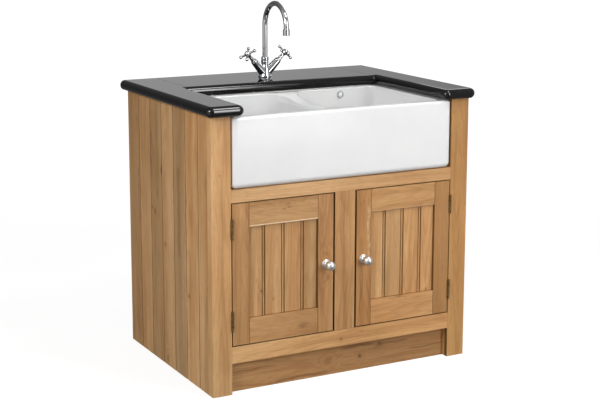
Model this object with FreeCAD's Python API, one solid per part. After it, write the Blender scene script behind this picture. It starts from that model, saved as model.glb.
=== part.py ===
import FreeCAD, Part
import math
import os

V = FreeCAD.Vector
os.makedirs("parts", exist_ok=True)

# ---------------------------------------------------------------------------
# Driving dimensions, mm.  +Z up, floor at z = 0, +Y towards the wall,
# origin at the middle of the bounding box on the floor.
# ---------------------------------------------------------------------------
W = 930.0              # cabinet width
D = 674.0              # cabinet depth
HC = 876.0             # underside of the worktop
T = 34.0               # worktop thickness
OV_FRONT = 21.0        # worktop overhang at the front
OV_SIDE = 17.0         # at each side
OV_BACK = 25.0         # at the back
CUT_HALF = 358.0       # half width of the worktop cut-out
STRIP = 276.0          # depth of the worktop strip behind the sink
NOSE = 16.5            # radius of the rounded worktop edge
JOINT_X = 352.0        # butt joints between the worktop slabs

POST = 66.0            # front post width
FRAME_T = 30.0         # face frame thickness
Z_RAIL0, Z_RAIL1 = 609.0, 650.0      # rail under the sink
Z_LOW0, Z_LOW1 = 100.0, 155.0        # bottom rail
STILE = 75.0           # centre stile width
PLINTH_BACK = 26.0     # plinth set back from the face
PLINTH_T = 18.0
TENON_T, TENON_L = 10.0, 28.0

SIDE_T = 20.0          # side board thickness
SIDE_JOINTS = (100.0, 196.0, 291.0, 387.0, 482.0, 578.0)   # board joints, from the front face
VEE = 3.0              # chamfer beside each joint
JOINT_GAP = 1.4        # open width at the bottom of each V

GAP = 2.0              # gap round each door
MEET_GAP = 4.5         # gap between a door and the centre stile
EASE = 1.0             # rounding of the long front edges
DOOR_T = 22.0
DOOR_STILE = 58.0
DOOR_TOP, DOOR_LOW = 78.0, 81.0
PANEL_SET = 8.0        # panel set back in the door frame
PANEL_T = 8.0
PANEL_HOUSE = 8.0      # depth of the panel groove
BOARD = 68.0           # door panel board pitch
BEAD = 4.3             # half width of the bead at a board joint

HINGE_L = 65.0
HINGE_Z = (237.0, 527.0)
HINGE_PROUD = 3.0      # pin axis in front of the face
KNUCKLE_R, PIN_R, PIN_CLEAR = 4.0, 2.0, 0.05
LEAF_T, LEAF_DEPTH = 2.0, 20.0

KNOB_PROJ = 45.0
KNOB_R = 16.0
KNOB_Z = 380.0

SINK_W, SINK_D = 792.0, 460.0
SINK_Z0, SINK_Z1 = 651.0, 873.0
SINK_PROUD = 5.0
WALL = 27.0            # front and back walls of the sink
SIDE_WALL = 35.0       # its end walls
BOWL_Z = 683.0         # bowl floor
DIVIDER = 42.0
CREST_Z = 855.0        # top of the divider
WASTE_X = 192.0
WASTE_BACK = 250.0     # wastes, behind the sink's front
WASTE_HOLE_R = 46.0

TAP_X = 0.0
TAP_UP = 563.0         # tap axis behind the front face
SPOUT_R, SPOUT_BORE = 9.0, 7.0
SWAN_R = 80.0
SWAN_Z = 1088.0        # centre of the swan neck's arc
TIP_Z = 1065.6         # lower end of the aerator
ARM_TO_HUB = (72.3, -12.0, 74.8)   # from the foot of an arm to its handle's middle

# ---------------------------------------------------------------------------
# Derived positions
# ---------------------------------------------------------------------------
F = (KNOB_PROJ - D - OV_BACK) / 2.0     # front face
B = F + D                               # back of the cabinet
L, R = -W / 2.0, W / 2.0
IL, IR = L + POST, R - POST
ZT = HC + T
TAP_Y = F + TAP_UP
FS = F - SINK_PROUD
SINK_B = FS + SINK_D
WASTE_Y = FS + WASTE_BACK


def box(x0, x1, y0, y1, z0, z1):
    return Part.makeBox(x1 - x0, y1 - y0, z1 - z0, V(x0, y0, z0))


def cyl(p, d, r, h):
    return Part.makeCylinder(r, h, V(*p), V(*d))


def cone(p, d, r1, r2, h):
    return Part.makeCone(r1, r2, h, V(*p), V(*d))


def prism(pts, z0, z1):
    """Upright prism on a polygon of (x, y) points."""
    ring = [V(x, y, z0) for x, y in pts]
    face = Part.Face(Part.makePolygon(ring + [ring[0]]))
    return face.extrude(V(0, 0, z1 - z0))


seam = [0.0]


def turned(profile, p, d):
    """Turned solid: profile of (radius, distance) points along the axis d from p.
    An entry of two points is an arc through the first to the second."""
    edges = []
    flat = []
    for item in profile:
        flat.append(item if not isinstance(item[0], tuple) else item[1])
    n = len(profile)
    for i in range(n):
        a = flat[i]
        b = flat[(i + 1) % n]
        nxt = profile[(i + 1) % n]
        pa, pb = V(a[0], 0, a[1]), V(b[0], 0, b[1])
        if (pa - pb).Length < 1e-7:
            continue
        if isinstance(nxt[0], tuple):
            m = nxt[0]
            edges.append(Part.Arc(pa, V(m[0], 0, m[1]), pb).toShape())
        else:
            edges.append(Part.LineSegment(pa, pb).toShape())
    face = Part.Face(Part.Wire(edges))
    # each piece starts its turn at another angle, so that no two seams lie in one plane
    seam[0] = (seam[0] + 37.0) % 360.0
    face.rotate(V(0, 0, 0), V(0, 0, 1), seam[0])
    solid = face.revolve(V(0, 0, 0), V(0, 0, 1), 360)
    rot = FreeCAD.Rotation(V(0, 0, 1), V(*d))
    solid.Placement = FreeCAD.Placement(V(*p), rot)
    return solid


def dome(a, s0, h):
    """Arc entry for turned(): a round cap of base radius a and height h, ending on the axis."""
    rho = (a * a + h * h) / (2 * h)
    th = math.asin(a / rho) / 2
    return ((rho * math.sin(th), s0 + h - rho + rho * math.cos(th)), (0.0, s0 + h))


def bend(centre, axis, start, normal, r, angle):
    """Part of a round bar bent about an axis."""
    c = Part.Circle(V(*start), V(*normal), r).toShape()
    return Part.Face(Part.Wire([c])).revolve(V(*centre), V(*axis), angle)


def flip(s):
    return s.mirror(V(0, 0, 0), V(1, 0, 0))


def fuse(items):
    s = items[0]
    for t in items[1:]:
        s = s.fuse(t)
    return s.removeSplitter()


def edges_at(s, test):
    return [e for e in s.Edges if test(e)]


def upright(e):
    if len(e.Vertexes) != 2:
        return False
    a, b = e.Vertexes[0].Point, e.Vertexes[1].Point
    return abs(a.x - b.x) < 1e-6 and abs(a.y - b.y) < 1e-6 and abs(a.z - b.z) > 1.0


def level(e, z):
    return abs(e.BoundBox.ZMin - z) < 1e-4 and abs(e.BoundBox.ZMax - z) < 1e-4


def save(name, shape):
    items = []
    for s in (shape if isinstance(shape, list) else [shape]):
        items += s.Solids
    out = items[0] if len(items) == 1 else Part.makeCompound(items)
    for s in items:
        if not s.isValid() or s.Volume <= 0:
            raise SystemExit("bad solid in " + name)
    out.exportStep("parts/" + name + ".step")
    print("%-24s %2d solid(s) %12.1f mm3" % (name, len(items), sum(s.Volume for s in items)))


# ---------------------------------------------------------------------------
# Hinges: left-hand shapes, mirrored for the right
# ---------------------------------------------------------------------------
HX, HY = IL + GAP / 2.0, F - HINGE_PROUD
SCREW_R, SCREW_HEAD = 1.75, 3.4
SCREW_LEN = 16.0
KN = HINGE_L / 5.0
CLEAR_R = KNUCKLE_R + 0.45


def hinge(zc):
    z0 = zc - HINGE_L / 2.0
    bore = cyl((HX, HY, z0 - 1), (0, 0, 1), PIN_R + PIN_CLEAR, HINGE_L + 2)
    out = {}
    for side, own in (("frame", (0, 2, 4)), ("door", (1, 3))):
        x0, x1 = (IL - LEAF_T, IL) if side == "frame" else (IL + GAP, IL + GAP + LEAF_T)
        bits = [box(x0, x1, F + 1.6, F + LEAF_DEPTH, z0, z0 + HINGE_L)]
        for k in own:
            za, zb = z0 + KN * k + (0.2 if k else 0.0), z0 + KN * (k + 1) - (0.2 if k < 4 else 0.0)
            bits.append(cyl((HX, HY, za), (0, 0, 1), KNUCKLE_R, zb - za))
            bits.append(box(x0, x1, HY, F + 1.6, za, zb))
        leaf = fuse(bits).cut(bore)
        sign = -1 if side == "frame" else 1
        xs = IL if side == "frame" else IL + GAP
        screws, holes = [], []
        for zs, ys in ((zc - 22, F + 8.5), (zc, F + 14.0), (zc + 22, F + 8.5)):
            d = (sign, 0, 0)
            head = cone((xs, ys, zs), d, SCREW_HEAD, SCREW_R, LEAF_T)
            shank = cyl((xs + sign * LEAF_T, ys, zs), d, SCREW_R, SCREW_LEN)
            screws.append(head.fuse(shank))
            leaf = leaf.cut(cone((xs, ys, zs), d, SCREW_HEAD + 0.05, SCREW_R + 0.05, LEAF_T))
            holes.append(cyl((xs, ys, zs), d, SCREW_R + 0.05, LEAF_T + SCREW_LEN + 0.5))
        out[side] = leaf
        out[side + "_screws"] = screws
        out[side + "_holes"] = holes
    out["pin"] = cyl((HX, HY, z0), (0, 0, 1), PIN_R, HINGE_L)
    out["notch"] = cyl((HX, HY, z0 - 0.5), (0, 0, 1), CLEAR_R, HINGE_L + 1)
    out["frame_mortise"] = box(IL - LEAF_T, IL + 1, F - 1, F + LEAF_DEPTH, z0, z0 + HINGE_L)
    out["door_mortise"] = box(IL + GAP - 1, IL + GAP + LEAF_T, F - 1, F + LEAF_DEPTH, z0, z0 + HINGE_L)
    return out


hinges = [hinge(z) for z in HINGE_Z]

# ---------------------------------------------------------------------------
# Face frame
# ---------------------------------------------------------------------------
YT0 = F + (FRAME_T - TENON_T) / 2.0
YT1 = YT0 + TENON_T


def tenon(x0, x1, z0, z1):
    return box(x0, x1, YT0, YT1, z0, z1)


def eased(s, r=EASE):
    """Board with its upright front edges rounded."""
    return s.makeFillet(r, edges_at(s, lambda e: upright(e) and abs(e.Vertexes[0].Point.y - F) < 1e-6))


left_post = eased(box(L, IL, F, F + FRAME_T, 0, HC), 1.5)
for z0, z1 in ((Z_RAIL0 + 6, Z_RAIL1 - 6), (Z_LOW0 + 8, Z_LOW1 - 8)):
    left_post = left_post.cut(tenon(IL - TENON_L, IL + 1, z0, z1))
for h in hinges:
    left_post = left_post.cut(h["notch"]).cut(h["frame_mortise"])
    for hole in h["frame_holes"]:
        left_post = left_post.cut(hole)
save("left_front_post", left_post)
save("right_front_post", flip(left_post))

sink_rail = fuse([box(IL, IR, F, F + FRAME_T, Z_RAIL0, Z_RAIL1),
                  tenon(IL - TENON_L, IL, Z_RAIL0 + 6, Z_RAIL1 - 6),
                  tenon(IR, IR + TENON_L, Z_RAIL0 + 6, Z_RAIL1 - 6)])
sink_rail = sink_rail.cut(tenon(-STILE / 2 + 12, STILE / 2 - 12, Z_RAIL0 - 1, Z_RAIL0 + 20))
save("sink_rail", sink_rail)

bottom_rail = fuse([box(IL, IR, F, F + FRAME_T, Z_LOW0, Z_LOW1),
                    tenon(IL - TENON_L, IL, Z_LOW0 + 8, Z_LOW1 - 8),
                    tenon(IR, IR + TENON_L, Z_LOW0 + 8, Z_LOW1 - 8)])
bottom_rail = bottom_rail.cut(tenon(-STILE / 2 + 12, STILE / 2 - 12, Z_LOW1 - 20, Z_LOW1 + 1))
save("bottom_rail", bottom_rail)

# catch screws go into the back of the centre stile
CATCH_Z = 560.0
catch_screw_at = [(x, CATCH_Z + dz) for x in (-27.0, 27.0) for dz in (-9.0, 9.0)]
centre_stile = fuse([eased(box(-STILE / 2, STILE / 2, F, F + FRAME_T, Z_LOW1, Z_RAIL0)),
                     tenon(-STILE / 2 + 12, STILE / 2 - 12, Z_RAIL0, Z_RAIL0 + 20),
                     tenon(-STILE / 2 + 12, STILE / 2 - 12, Z_LOW1 - 20, Z_LOW1)])
for x, z in catch_screw_at:
    centre_stile = centre_stile.cut(cyl((x, F + FRAME_T + 0.1, z), (0, -1, 0), 1.5, 13))
save("centre_stile", centre_stile)

save("plinth_board", box(IL, IR, F + PLINTH_BACK, F + PLINTH_BACK + PLINTH_T, 0, Z_LOW0))

# ---------------------------------------------------------------------------
# Sides: tongue-and-groove boards with a V at each joint
# ---------------------------------------------------------------------------


def side_boards():
    marks = [F + FRAME_T] + [F + j for j in SIDE_JOINTS] + [B]
    n = len(marks) - 1
    out = []
    for i in range(n):
        a, b = marks[i], marks[i + 1]
        first, last = i == 0, i == n - 1
        pts = []
        # outer face from front to back, then the back edge, inner face, front edge
        g = JOINT_GAP / 2
        pts += [(L, a)] if first else [(L + VEE, a + g), (L, a + g + VEE)]
        if last:
            pts += [(L, b), (L + SIDE_T, b)]
        else:
            pts += [(L, b - g - VEE), (L + VEE, b - g), (L + 8, b - g), (L + 8, b + 6), (L + 14, b + 6), (L + 14, b),
                    (L + SIDE_T, b)]
        pts += [(L + SIDE_T, a)]
        if not first:
            pts += [(L + 14, a), (L + 14, a + 6.4), (L + 8, a + 6.4), (L + 8, a + g)]
        out.append(prism(pts, 0, HC))
    return out


left_boards = side_boards()
save("left_side_boards", left_boards)
save("right_side_boards", [flip(s) for s in left_boards])

IN_L, IN_R = L + SIDE_T, R - SIDE_T     # inside faces of the sides
FLOOR_Z = 145.0
battens = []
for z0, z1 in ((FLOOR_Z - 58, FLOOR_Z - 18), (HC - 40, HC)):
    b = box(IN_L, IN_L + 20, F + FRAME_T, B - 20, z0, z1)
    battens += [b, flip(b)]
save("side_battens", battens)

save("cupboard_floor", box(IN_L, IN_R, F + FRAME_T, B - 20, FLOOR_Z - 18, FLOOR_Z))

save("back_rails", [box(IN_L, IN_R, B - 20, B, 0, 100),
                    box(IN_L, IN_R, B - 20, B, 400, 450),
                    box(IN_L, IN_R, B - 20, B, HC - 80, HC)])
save("back_panel", box(IN_L, IN_R, B - 14, B - 5, 100, 400))

# bearers that carry the sink
bearer = box(IN_L, -365, F + FRAME_T, SINK_B, 605, SINK_Z0)
save("sink_bearers", [bearer, flip(bearer), box(-365, 365, SINK_B - 60, SINK_B, 605, SINK_Z0)])

# ---------------------------------------------------------------------------
# Worktop: one U-shaped outline with rounded edges, in three slabs
# ---------------------------------------------------------------------------
WX = W / 2 + OV_SIDE
WY0, WY1 = F - OV_FRONT, B + OV_BACK
WYI = WY1 - STRIP
u = prism([(-WX, WY0), (-CUT_HALF, WY0), (-CUT_HALF, WYI), (CUT_HALF, WYI), (CUT_HALF, WY0), (WX, WY0),
           (WX, WY1), (-WX, WY1)], HC, ZT)


def corner(e, x, y):
    p = e.Vertexes[0].Point
    return upright(e) and abs(abs(p.x) - x) < 1e-4 and abs(p.y - y) < 1e-4


u = u.makeFillet(20.0, edges_at(u, lambda e: corner(e, WX, WY0) or corner(e, CUT_HALF, WY0)))
u = u.makeFillet(4.0, edges_at(u, lambda e: corner(e, CUT_HALF, WYI)))
u = u.makeFillet(NOSE, edges_at(u, lambda e: (level(e, HC) or level(e, ZT))
                                and e.BoundBox.YMin < WY1 - 1e-3))
u = u.cut(cyl((TAP_X, TAP_Y, HC - 1), (0, 0, 1), 17.5, T + 2))
for x in (-JOINT_X, JOINT_X):   # the slabs' top edges are eased at the joints
    u = u.cut(Part.Face(Part.makePolygon([V(x - 1.0, WYI - 40, ZT + 0.2), V(x + 1.0, WYI - 40, ZT + 0.2), V(x, WYI - 40, ZT - 0.8),
                                          V(x - 1.0, WYI - 40, ZT + 0.2)])).extrude(V(0, 600, 0)))
big = 2000.0
save("worktop_left", u.common(box(-big, -JOINT_X, -big, big, 0, big)))
save("worktop_right", u.common(box(JOINT_X, big, -big, big, 0, big)))
save("worktop_back", u.common(box(-JOINT_X, JOINT_X, -big, big, 0, big)))

# ---------------------------------------------------------------------------
# Sink
# ---------------------------------------------------------------------------
SX = SINK_W / 2
sink = box(-SX, SX, FS, SINK_B, SINK_Z0, SINK_Z1)
sink = sink.makeFillet(19.0, edges_at(sink, upright))
sink = sink.makeFillet(17.5, edges_at(sink, lambda e: level(e, SINK_Z0)))
BY0, BY1 = FS + WALL, SINK_B - WALL
bowl = box(-SX + SIDE_WALL, -DIVIDER / 2, BY0, BY1, BOWL_Z, SINK_Z1 + 40)
bowl = bowl.makeFillet(24.0, edges_at(bowl, lambda e: upright(e) and e.Vertexes[0].Point.x < -200))
bowl = bowl.makeFillet(80.0, edges_at(bowl, lambda e: upright(e) and abs(e.Vertexes[0].Point.x + DIVIDER / 2) < 1e-4))
bowl = bowl.makeFillet(22.0, edges_at(bowl, lambda e: level(e, BOWL_Z)))
sink = sink.cut(bowl).cut(flip(bowl))
# saddle over the divider, level in the middle and rising to the rim at both walls
RUN_FRONT, RUN_BACK = 100.0, 160.0     # length of each rise
OVER_RIM = 2.0


def rise(y0, z0, y1, z1):
    """Smooth S between two level ends."""
    c = Part.BSplineCurve()
    t = V(0, abs(y1 - y0), 0)
    c.interpolate([V(0, y0, z0), V(0, y1, z1)], InitialTangent=t, FinalTangent=t)
    return c.toShape()


def line(y0, z0, y1, z1):
    return Part.LineSegment(V(0, y0, z0), V(0, y1, z1)).toShape()


top = SINK_Z1 + OVER_RIM
saddle = Part.Face(Part.Wire([
    rise(BY0, top, BY0 + RUN_FRONT, CREST_Z), line(BY0 + RUN_FRONT, CREST_Z, BY1 - RUN_BACK, CREST_Z),
    rise(BY1 - RUN_BACK, CREST_Z, BY1, top), line(BY1, top, BY1, top + 60),
    line(BY1, top + 60, BY0, top + 60), line(BY0, top + 60, BY0, top)])).extrude(V(220, 0, 0))
saddle.translate(V(-110, 0, 0))
sink = sink.cut(saddle)
# soft glazed edges: round on the outside of the rim, crisper round the bowls and on the divider


def outside(e):
    b = e.BoundBox
    return b.XMin < -SX + 20 or b.XMax > SX - 20 or b.YMin < FS + 20 or b.YMax > SINK_B - 20


sink = sink.makeFillet(5.0, edges_at(sink, lambda e: e.BoundBox.ZMin > CREST_Z - 0.01 and not outside(e)))
sink = sink.makeFillet(8.0, edges_at(sink, lambda e: e.BoundBox.ZMin > SINK_Z1 - 0.01 and outside(e)))
# waste holes with a shallow seat, and the overflow hole
for x in (-WASTE_X, WASTE_X):
    sink = sink.cut(cyl((x, WASTE_Y, SINK_Z0 - 1), (0, 0, 1), WASTE_HOLE_R, 60))
    sink = sink.cut(cyl((x, WASTE_Y, BOWL_Z - 5), (0, 0, 1), 59.0, 30))
OVER_X, OVER_Z = 223.6, 849.3
sink = sink.cut(cyl((OVER_X, BY1 - 1, OVER_Z), (0, 1, 0), 9.0, 19))
save("sink", sink)

# overflow cover: a ring and a domed cap in one turning, with three curved slots between them
over_at, out = (OVER_X, BY1, OVER_Z), (0, -1, 0)
cover = turned([(0.0, 0.8), (10.2, 0.8), (10.2, 0.0), (13.4, 0.0), (13.4, 0.8), ((12.6, 2.7), (11.2, 3.2)), (10.6, 2.0), (8.2, 2.0),
                (7.6, 2.9), dome(7.6, 2.9, 1.0)], over_at, out)
slots = cyl(over_at, out, 10.0, 6.0).cut(cyl(over_at, out, 8.6, 6.0))
for k in range(3):
    arm = box(0.0, 14.0, -1.3, 1.3, -1.0, 7.0)
    arm.Placement = FreeCAD.Placement(V(OVER_X, BY1, OVER_Z), FreeCAD.Rotation(V(1, 0, 0), 90).multiply(FreeCAD.Rotation(V(0, 0, 1), 90.0 + 120 * k)))
    slots = slots.cut(arm)
save("overflow_ring", cover.cut(slots))

seal_w = 12.0
save("sink_sealant", [box(-SX + 4, -SX + 4 + seal_w, FS + 24, SINK_B - 4, SINK_Z1, HC),
                      box(SX - 4 - seal_w, SX - 4, FS + 24, SINK_B - 4, SINK_Z1, HC),
                      box(-SX + 4 + seal_w, SX - 4 - seal_w, SINK_B - 4 - seal_w, SINK_B - 4, SINK_Z1, HC)])

# ---------------------------------------------------------------------------
# Wastes, baskets and trap
# ---------------------------------------------------------------------------
SEAT = BOWL_Z - 5.0            # 678
flanges, seals, nuts = [], [], []
for x in (-WASTE_X, WASTE_X):
    at, up = (x, WASTE_Y, 0.0), (0, 0, 1)
    flanges.append(turned([
        (20.0, 600.0), (22.0, 600.0), (22.0, 628.0), (44.0, 628.0), (44.0, SEAT + 2),
        (57.5, SEAT + 2), (57.5, SEAT + 3.2), (56.0, SEAT + 4.2), (46.5, SEAT + 4.6),
        (42.5, SEAT + 2.6), (42.5, 630.0), (20.0, 630.0)], at, up))
    seals.append(turned([(44.4, SEAT), (56.0, SEAT), (56.0, SEAT + 1.9), (44.4, SEAT + 1.9)], at, up))
    seals.append(turned([(44.4, 648.1), (57.0, 648.1), (57.0, SINK_Z0), (44.4, SINK_Z0)], at, up))
    hexa = Part.Face(Part.makePolygon([V(x + 61 * math.cos(math.radians(60 * k)), WASTE_Y + 61 * math.sin(math.radians(60 * k)), 634.0)
                                       for k in range(7)])).extrude(V(0, 0, 14.0))
    nuts.append(hexa.cut(cyl((x, WASTE_Y, 630), up, 44.2, 30)))
save("waste_flanges", flanges)


def basket(x):
    at, up = (x, WASTE_Y, 0.0), (0, 0, 1)
    cup = turned([(0.0, 630.3), (24.0, 630.3), (25.0, 631.3), (25.0, 633.4), (6.0, 634.6), (4.0, 637.0), (4.0, 652.0), (34.0, 652.0), (37.0, 653.2), (38.0, 656.0), (39.0, SEAT + 1.2),
                  (42.0, SEAT + 1.2), (42.0, SEAT + 2.4), (37.8, SEAT + 2.4), (36.8, 656.5), (33.5, 653.4),
                  (5.0, 653.4), (5.0, 676.0), (8.6, 679.0), (10.0, 683.0), (8.6, 687.0), (5.0, 689.4), (0.0, 690.0)], at, up)
    for ring_r, n in ((12.0, 6), (19.5, 10), (27.0, 14)):
        for k in range(n):
            a = 2 * math.pi * k / n
            cup = cup.cut(cyl((x + ring_r * math.cos(a), WASTE_Y + ring_r * math.sin(a), 650.0), (0, 0, 1), 2.2, 5.0))
    return cup


save("left_basket", basket(-WASTE_X))
save("right_basket", basket(WASTE_X))

PZ, PBEND = 555.0, 35.0


def pipework(r):
    bits = []
    for s in (-1, 1):
        x = s * WASTE_X
        bits.append(cyl((x, WASTE_Y, PZ + PBEND), (0, 0, 1), r, 600.0 - PZ - PBEND))
        bits.append(bend((x - s * PBEND, WASTE_Y, PZ + PBEND), (0, 1, 0), (x, WASTE_Y, PZ + PBEND), (0, 0, 1), r, s * 90))
    bits.append(cyl((-WASTE_X + PBEND, WASTE_Y, PZ), (1, 0, 0), r, 2 * (WASTE_X - PBEND)))
    bits.append(cyl((0, WASTE_Y, 530.0), (0, 0, 1), r, PZ - 530.0))
    return fuse(bits)


save("waste_pipe", pipework(21.5).cut(pipework(19.0)))

trap = turned([(19.0, 530.0), (19.0, 470.0), (21.0, 470.0), (21.0, 514.0), (29.0, 514.0), (29.0, 440.0),
               (32.0, 440.0), (32.0, 518.0), (24.0, 522.0), (24.0, 530.0)], (0, WASTE_Y, 0), (0, 0, 1))
OUT_Z = 496.0
SPIGOT_R, SPIGOT_END = 19.6, WASTE_Y + 62.0     # the end of the outlet pipe in the trap
boss = cyl((0, WASTE_Y + 22, OUT_Z), (0, 1, 0), 23.0, 30)
cavity = cyl((0, WASTE_Y, 440), (0, 0, 1), 29.0, 74)
trap = trap.fuse(boss.cut(cavity)).removeSplitter()
trap = trap.cut(cyl((0, WASTE_Y + 24, OUT_Z), (0, 1, 0), 14.0, 40)).cut(cyl((0, WASTE_Y + 36, OUT_Z), (0, 1, 0), SPIGOT_R, 40))
save("trap_body", trap)
save("trap_cup", turned([(0.0, 385.0), (30.0, 385.0), ((33.5, 386.5), (35.0, 390.0)), (35.0, 456.0), (32.1, 456.0),
                         (32.1, 440.0), (30.0, 440.0), (30.0, 390.0), (0.0, 390.0)], (0, WASTE_Y, 0), (0, 0, 1)))
OUT_END = B + 20.0
save("outlet_pipe", cyl((0, SPIGOT_END, OUT_Z), (0, 1, 0), 20.0, OUT_END - SPIGOT_END)
     .fuse(cyl((0, WASTE_Y + 36, OUT_Z), (0, 1, 0), SPIGOT_R, SPIGOT_END - WASTE_Y - 36)).removeSplitter()
     .cut(cyl((0, WASTE_Y + 30, OUT_Z), (0, 1, 0), 18.0, OUT_END - WASTE_Y)))


def union(p, d, r_in, r_out, h):
    n = turned([(r_in, 0.0), (r_out - 1.5, 0.0), (r_out, 1.5), (r_out, h - 1.5), (r_out - 1.5, h), (r_in, h)], p, d)
    # finger ribs round the nut
    ax = FreeCAD.Rotation(V(0, 0, 1), V(*d))
    for k in range(12):
        a = math.radians(30 * k)
        off = ax.multVec(V((r_out + 1.6) * math.cos(a), (r_out + 1.6) * math.sin(a), -1))
        n = n.cut(Part.makeCylinder(2.6, h + 2, V(*p) + off, V(*d)))
    return n


nuts += [union((-WASTE_X, WASTE_Y, 590), (0, 0, 1), 22.2, 31.0, 22),
         union((WASTE_X, WASTE_Y, 590), (0, 0, 1), 22.2, 31.0, 22),
         union((0, WASTE_Y, 522.4), (0, 0, 1), 24.2, 32.0, 10.4)]
save("waste_nuts", nuts)

# ---------------------------------------------------------------------------
# Tap
# ---------------------------------------------------------------------------
AT = (TAP_X, TAP_Y, 0.0)
UP = (0, 0, 1)
ZB = ZT + 1.0                    # the body stands on a 1 mm gasket
seals.append(turned([(17.6, ZT), (23.0, ZT), (23.0, ZB), (17.6, ZB)], AT, UP))
seals.append(turned([(16.3, HC - 3), (27.0, HC - 3), (27.0, HC), (16.3, HC)], AT, UP))
save("rubber_seals", seals)

AX_Z = ZB + 7.0                  # where both arm axes meet
HUB_S = math.sqrt(sum(q * q for q in ARM_TO_HUB))
AX, AY, AZ = [q / HUB_S for q in ARM_TO_HUB]
ARM_L = 69.0


def along(side, s):
    return (TAP_X + side * AX * s, TAP_Y + AY * s, AX_Z + AZ * s)


def arm_dir(side):
    return (side * AX, AY, AZ)


body = turned([(0.0, ZB), (24.0, ZB), (24.0, ZB + 1.6), ((23.4, ZB + 2.6), (22.2, ZB + 3.0)),
               (19.0, ZB + 16.0), (15.5, ZB + 30.0), (12.4, ZB + 40.0), (12.4, ZB + 48.0), (0.0, ZB + 48.0)], AT, UP)
for side in (-1, 1):
    arm = turned([(0.0, 0.0), (17.0, 0.0), (11.6, ARM_L - 5), ((11.5, ARM_L - 2.2), (10.2, ARM_L)), (0.0, ARM_L)],
                 along(side, 0), arm_dir(side))
    body = body.fuse(arm)
body = body.removeSplitter()
body = body.cut(box(-200, 200, TAP_Y - 200, TAP_Y + 200, ZB - 60, ZB))
# seats for the spout and the valve spindles
body = body.cut(cyl((TAP_X, TAP_Y, ZB + 27), UP, SPOUT_R + 0.05, 40))
for side in (-1, 1):
    body = body.cut(cyl(along(side, ARM_L - 16), arm_dir(side), 4.6, 30))
save("tap_body", body)

shank = cyl((TAP_X, TAP_Y, 806.0), UP, 16.0, ZB - 806.0)
INLET_X, INLET_R = 7.5, 5.0
for s in (-1, 1):
    shank = shank.cut(cyl((TAP_X + s * INLET_X, TAP_Y, 805.0), UP, INLET_R, 21.0))
save("tap_shank", shank)
hexa = Part.Face(Part.makePolygon([V(TAP_X + 25 * math.cos(math.radians(60 * k)), TAP_Y + 25 * math.sin(math.radians(60 * k)), HC - 15)
                                   for k in range(7)])).extrude(V(0, 0, 9.0))
hexa = hexa.fuse(cyl((TAP_X, TAP_Y, HC - 6), UP, 28.0, 3.0)).removeSplitter()
save("tap_backnut", hexa.cut(cyl((TAP_X, TAP_Y, HC - 20), UP, 16.2, 30)))

Z_COLLAR = ZB + 48.0
save("spout_collar", turned([(SPOUT_R + 0.5, Z_COLLAR), (14.5, Z_COLLAR), (14.5, Z_COLLAR + 4), ((13.4, Z_COLLAR + 5.4), (13.4, Z_COLLAR + 6.8)),
                             (13.4, Z_COLLAR + 16), ((12.4, Z_COLLAR + 19.4), (SPOUT_R + 0.9, Z_COLLAR + 21.0)),
                             (SPOUT_R + 0.5, Z_COLLAR + 21.0)], AT, UP))

Z_FOOT = ZB + 27.5               # lower end of the spout, in the body


def swan(r, z0, z1):
    up = cyl((TAP_X, TAP_Y, z0), UP, r, SWAN_Z - z0)
    arc = bend((TAP_X, TAP_Y - SWAN_R, SWAN_Z), (1, 0, 0), (TAP_X, TAP_Y, SWAN_Z), UP, r, 180)
    down = cyl((TAP_X, TAP_Y - 2 * SWAN_R, z1), UP, r, SWAN_Z - z1)
    return fuse([up, arc, down])


TUBE_END = TIP_Z + 11.0
save("swan_neck_spout", swan(SPOUT_R, Z_FOOT, TUBE_END).cut(swan(SPOUT_BORE, Z_FOOT - 1, TUBE_END - 1)))
aer = turned([(SPOUT_R, TIP_Z + 21.6), (10.6, TIP_Z + 21.6), ((11.5, TIP_Z + 20.8), (11.8, TIP_Z + 19.0)), (12.0, TIP_Z + 1.5),
              ((11.6, TIP_Z + 0.4), (10.6, TIP_Z)), (8.0, TIP_Z), (8.0, TIP_Z + 1.4), (0.0, TIP_Z + 1.4), (0.0, TIP_Z + 3.0),
              (8.0, TIP_Z + 3.0), (8.0, TUBE_END), (SPOUT_R, TUBE_END)],
             (TAP_X, TAP_Y - 2 * SWAN_R, 0.0), UP)
for ring_r, n in ((0.0, 1), (3.0, 6), (5.8, 10)):
    for k in range(n):
        a = 2 * math.pi * k / n
        aer = aer.cut(cyl((TAP_X + ring_r * math.cos(a), TAP_Y - 2 * SWAN_R + ring_r * math.sin(a), TIP_Z), UP, 0.9, 4.0))
save("aerator", aer)

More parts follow.
